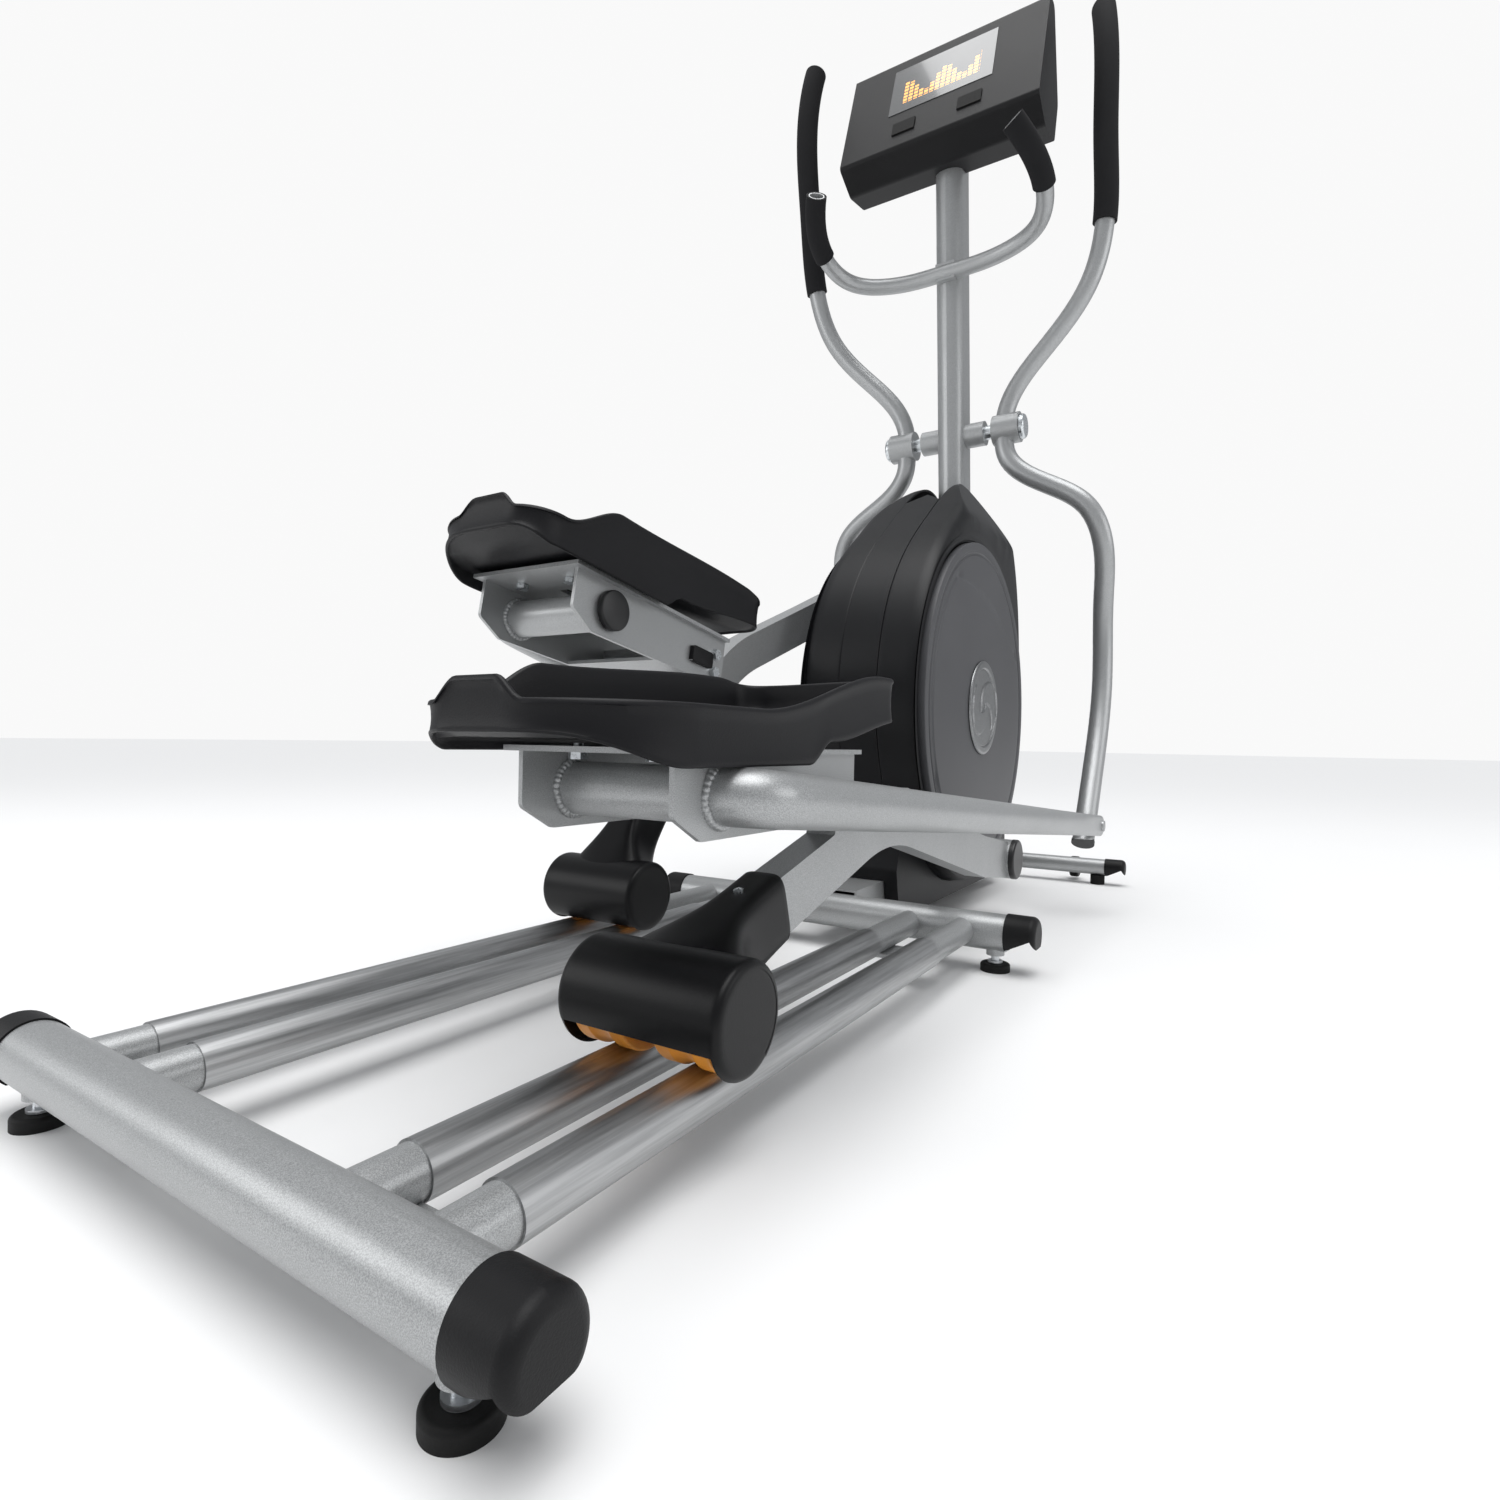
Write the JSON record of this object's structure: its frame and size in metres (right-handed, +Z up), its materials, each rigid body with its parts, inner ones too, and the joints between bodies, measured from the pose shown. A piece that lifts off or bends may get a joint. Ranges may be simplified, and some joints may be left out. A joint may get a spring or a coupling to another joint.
{
  "type": "elliptical trainer",
  "caption": "Front-drive elliptical trainer: twin-rail rollers, bent rail arms to crank discs, pedal links, swing arms, mast with console and fixed handlebar.",
  "frame": {"origin": "on the floor, middle of the footprint", "axes": "+X forwards, the way the user faces and along the rails; +Y to the user's left; +Z up"},
  "size_m": [1.6444, 0.585, 1.5936],
  "materials": {
    "silver_steel": "silver metallic powder coat, satin",
    "bare_aluminium": "brushed satin aluminium sleeve",
    "black_plastic": "fine textured black moulding",
    "housing_plastic": "satin charcoal moulding",
    "disc_plastic": "satin dark grey moulding",
    "orange_urethane": "orange cast urethane",
    "zinc_steel": "bright zinc plate",
    "black_rubber": "matt black rubber",
    "grip_foam": "soft ribbed grip",
    "cast_iron": "machined rim, dark casting",
    "lcd_panel": "dark glossy display window"
  },
  "bodies": {
    "frame": {"mid_stabilizer": "silver_steel", "rear_stabilizer": "silver_steel", "front_stabilizer": "silver_steel", "stabilizer_end_caps": "black_plastic", "front_feet": "black_rubber", "rail_tubes_left": "silver_steel", "rail_tubes_right": "silver_steel", "rail_sleeves": "bare_aluminium", "frame_spine": "silver_steel", "crank_bearings": "zinc_steel", "console_mast": "silver_steel", "swing_pivot_axle": "zinc_steel", "housing_band": "housing_plastic", "housing_left": "housing_plastic", "housing_right": "housing_plastic", "lower_cover": "housing_plastic", "flywheel_bracket": "silver_steel", "drive_belt": "black_rubber", "console_body": "black_plastic", "console_screen": "lcd_panel", "fixed_handlebar": "silver_steel", "fixed_handlebar_grips": "grip_foam"},
    "crank_set": {"crank_arms": "zinc_steel", "crank_discs": "disc_plastic", "crank_hub_caps": "disc_plastic", "crank_axle": "zinc_steel", "drive_pulley": "black_plastic"},
    "flywheel": {"flywheel": "cast_iron"},
    "brake_shoe": {"brake_shoe": "silver_steel"},
    "roller_carriage_right": {"roller_axle_right": "zinc_steel"},
    "roller_wheels_right": {"roller_wheels_right": "orange_urethane"},
    "rail_arm_right": {"rail_arm_right": "silver_steel", "roller_cover_right": "black_plastic", "crank_pin_right": "zinc_steel"},
    "pedal_link_right": {"pedal_bracket_right": "silver_steel", "bracket_bolts_right": "zinc_steel", "link_arm_right": "silver_steel", "pedal_right": "black_plastic"},
    "swing_arm_right": {"swing_arm_right": "silver_steel", "swing_grip_right": "grip_foam"},
    "roller_carriage_left": {"roller_axle_left": "zinc_steel"},
    "roller_wheels_left": {"roller_wheels_left": "orange_urethane"},
    "rail_arm_left": {"rail_arm_left": "silver_steel", "roller_cover_left": "black_plastic", "crank_pin_left": "zinc_steel"},
    "pedal_link_left": {"pedal_bracket_left": "silver_steel", "bracket_bolts_left": "zinc_steel", "link_arm_left": "silver_steel", "pedal_left": "black_plastic"},
    "swing_arm_left": {"swing_arm_left": "silver_steel", "swing_grip_left": "grip_foam"},
    "levelling_foot_mid_right": {"levelling_foot_mid_right": "black_rubber"},
    "levelling_foot_mid_left": {"levelling_foot_mid_left": "black_rubber"},
    "levelling_foot_rear_right": {"levelling_foot_rear_right": "black_rubber"},
    "levelling_foot_rear_left": {"levelling_foot_rear_left": "black_rubber"},
    "transport_wheel_right": {"transport_wheel_right": "black_plastic"},
    "transport_wheel_left": {"transport_wheel_left": "black_plastic"},
    "console_button_start": {"console_button_start": "black_rubber"},
    "console_button_stop": {"console_button_stop": "black_rubber"}
  },
  "joints": [
    {"name": "stride", "type": "slide", "parent": "frame", "child": "roller_carriage_right", "axis": [1, 0, 0], "range_m": [0, 0.28601]},
    {"name": "roller_spin_right", "type": "hinge", "parent": "roller_carriage_right", "child": "roller_wheels_right", "pos_m": [-0.57, -0.15835, 0.0999], "axis": [0, 1, 0], "continuous": true},
    {"name": "rail_arm_tilt_right", "type": "hinge", "parent": "roller_carriage_right", "child": "rail_arm_right", "pos_m": [-0.57, -0.15835, 0.0999], "axis": [0, -1, 0], "range_deg": [0, 34.34]},
    {"name": "pedal_link_pivot_right", "type": "hinge", "parent": "rail_arm_right", "child": "pedal_link_right", "pos_m": [-0.31055, -0.1585, 0.22599], "axis": [0, -1, 0], "range_deg": [-44.22, 0]},
    {"name": "swing_right", "type": "hinge", "parent": "frame", "child": "swing_arm_right", "pos_m": [0.50095, -0.1, 0.865], "axis": [0, -1, 0], "range_deg": [0, 11.63]},
    {"name": "stride_left", "type": "slide", "parent": "frame", "child": "roller_carriage_left", "axis": [1, 0, 0], "range_m": [-0.28601, 0]},
    {"name": "roller_spin_left", "type": "hinge", "parent": "roller_carriage_left", "child": "roller_wheels_left", "pos_m": [-0.28399, 0.15835, 0.0999], "axis": [0, 1, 0], "continuous": true},
    {"name": "rail_arm_tilt_left", "type": "hinge", "parent": "roller_carriage_left", "child": "rail_arm_left", "pos_m": [-0.28399, 0.15835, 0.0999], "axis": [0, -1, 0], "range_deg": [-34.34, 0]},
    {"name": "pedal_link_pivot_left", "type": "hinge", "parent": "rail_arm_left", "child": "pedal_link_left", "pos_m": [-0.1409, 0.1585, 0.35038], "axis": [0, -1, 0], "range_deg": [0, 44.22]},
    {"name": "swing_left", "type": "hinge", "parent": "frame", "child": "swing_arm_left", "pos_m": [0.50095, 0.1, 0.865], "axis": [0, -1, 0], "range_deg": [-11.63, 0]},
    {"name": "crank_spin", "type": "hinge", "parent": "frame", "child": "crank_set", "pos_m": [0.36545, 0, 0.3444], "axis": [0, -1, 0], "continuous": true},
    {"name": "flywheel_spin", "type": "hinge", "parent": "frame", "child": "flywheel", "pos_m": [0.48015, 0, 0.2], "axis": [0, -1, 0], "continuous": true},
    {"name": "brake_tilt", "type": "hinge", "parent": "frame", "child": "brake_shoe", "pos_m": [0.38815, -0.045, 0.262], "axis": [0, -1, 0], "range_deg": [0, 5]},
    {"name": "levelling_foot_mid_right_screw", "type": "slide", "parent": "frame", "child": "levelling_foot_mid_right", "axis": [0, 0, 1], "range_m": [0, 0.006]},
    {"name": "levelling_foot_mid_left_screw", "type": "slide", "parent": "frame", "child": "levelling_foot_mid_left", "axis": [0, 0, 1], "range_m": [0, 0.006]},
    {"name": "levelling_foot_rear_right_screw", "type": "slide", "parent": "frame", "child": "levelling_foot_rear_right", "axis": [0, 0, 1], "range_m": [0, 0.006]},
    {"name": "levelling_foot_rear_left_screw", "type": "slide", "parent": "frame", "child": "levelling_foot_rear_left", "axis": [0, 0, 1], "range_m": [0, 0.006]},
    {"name": "transport_wheel_right_spin", "type": "hinge", "parent": "frame", "child": "transport_wheel_right", "pos_m": [0.80065, -0.18018, 0.026], "axis": [0, 1, 0], "continuous": true},
    {"name": "transport_wheel_left_spin", "type": "hinge", "parent": "frame", "child": "transport_wheel_left", "pos_m": [0.80065, 0.18018, 0.026], "axis": [0, 1, 0], "continuous": true},
    {"name": "console_button_start_press", "type": "slide", "parent": "frame", "child": "console_button_start", "axis": [0.9505, 0, -0.3107], "range_m": [0, 0.0025], "stiffness_N_per_m": 600},
    {"name": "console_button_stop_press", "type": "slide", "parent": "frame", "child": "console_button_stop", "axis": [0.9505, 0, -0.3107], "range_m": [0, 0.0025], "stiffness_N_per_m": 600}
  ],
  "couplings": [
    {"joint": "roller_spin_right", "follows": "stride", "rad_per_m": 29.326},
    {"joint": "rail_arm_tilt_right", "follows": "stride", "rad_per_m": 2.0958},
    {"joint": "pedal_link_pivot_right", "follows": "stride", "rad_per_m": -2.6982},
    {"joint": "swing_right", "follows": "stride", "rad_per_m": 0.70998},
    {"joint": "stride_left", "follows": "stride", "ratio": -1},
    {"joint": "roller_spin_left", "follows": "stride", "rad_per_m": -29.326},
    {"joint": "rail_arm_tilt_left", "follows": "stride", "rad_per_m": -2.0958},
    {"joint": "pedal_link_pivot_left", "follows": "stride", "rad_per_m": 2.6982},
    {"joint": "swing_left", "follows": "stride", "rad_per_m": -0.70998},
    {"joint": "crank_spin", "follows": "stride", "rad_per_m": -10.984},
    {"joint": "flywheel_spin", "follows": "stride", "rad_per_m": -68.651}
  ]
}
